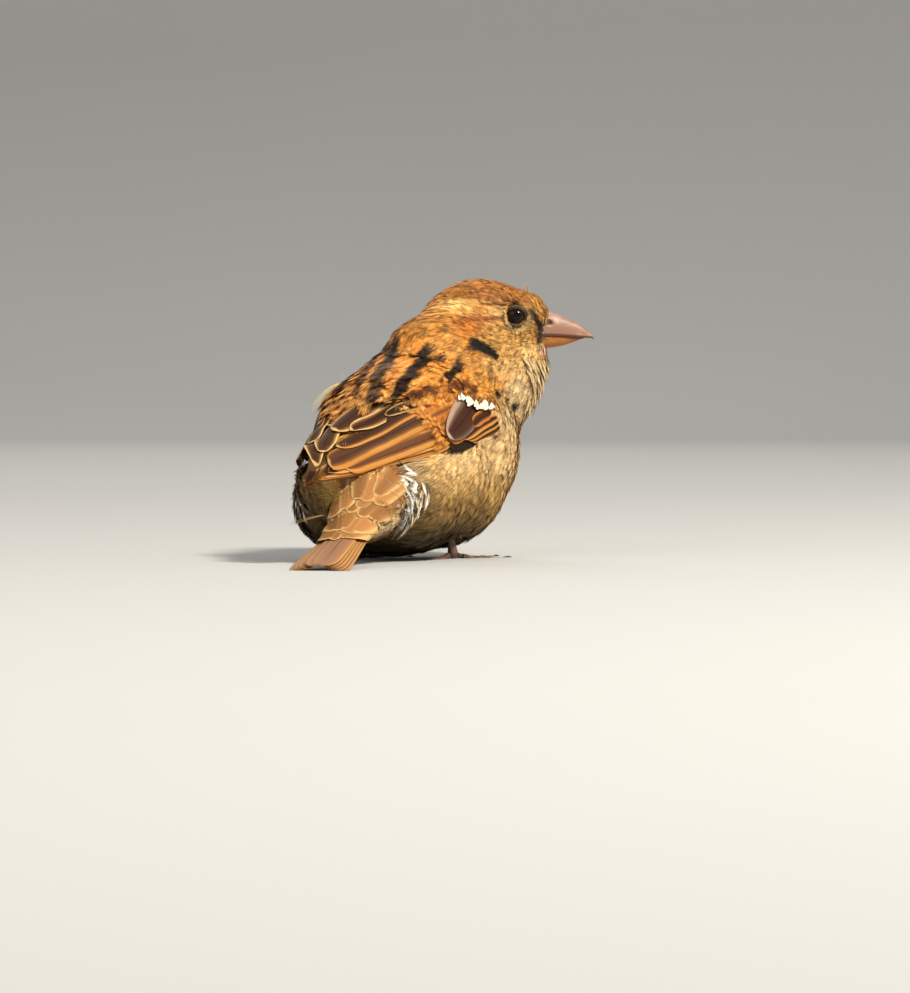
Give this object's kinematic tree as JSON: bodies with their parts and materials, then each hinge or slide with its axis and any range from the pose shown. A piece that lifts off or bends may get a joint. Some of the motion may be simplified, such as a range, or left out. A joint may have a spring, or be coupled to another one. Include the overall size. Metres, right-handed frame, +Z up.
{
  "type": "house sparrow",
  "caption": "House sparrow in brown, buff and black-streaked plumage, crouched on its feet with its head turned to its right and its tail laid on the floor.",
  "frame": {"origin": "middle of the bounding box on the floor the bird stands on", "axes": "+X the way the trunk faces, +Y the bird's left, +Z up"},
  "size_m": [0.118, 0.0536, 0.0708],
  "materials": {
    "plumage": "soft feathers",
    "crown": "soft feathers",
    "wing": "smooth vanes",
    "tail": "smooth vanes",
    "bill": "satin horn",
    "eye": "wet gloss",
    "scales": "scaly skin",
    "horn": "satin horn"
  },
  "bodies": {
    "root": {"head": "crown", "neck": "plumage", "trunk": "plumage", "rump": "plumage", "bill_upper": "bill", "bill_lower": "bill", "eye_right": "eye", "eye_left": "eye", "tail_feathers": "tail", "wing_right_primaries": "wing", "wing_right_tertials": "wing", "wing_right_coverts": "wing", "tarsus_right": "scales", "toe_right_inner": "scales", "claw_right_inner": "horn", "toe_right_middle": "scales", "claw_right_middle": "horn", "toe_right_outer": "scales", "claw_right_outer": "horn", "toe_right_hind": "scales", "claw_right_hind": "horn", "wing_left_primaries": "wing", "wing_left_tertials": "wing", "wing_left_coverts": "wing", "tarsus_left": "scales", "toe_left_inner": "scales", "claw_left_inner": "horn", "toe_left_middle": "scales", "claw_left_middle": "horn", "toe_left_outer": "scales", "claw_left_outer": "horn", "toe_left_hind": "scales", "claw_left_hind": "horn"}
  },
  "joints": []
}
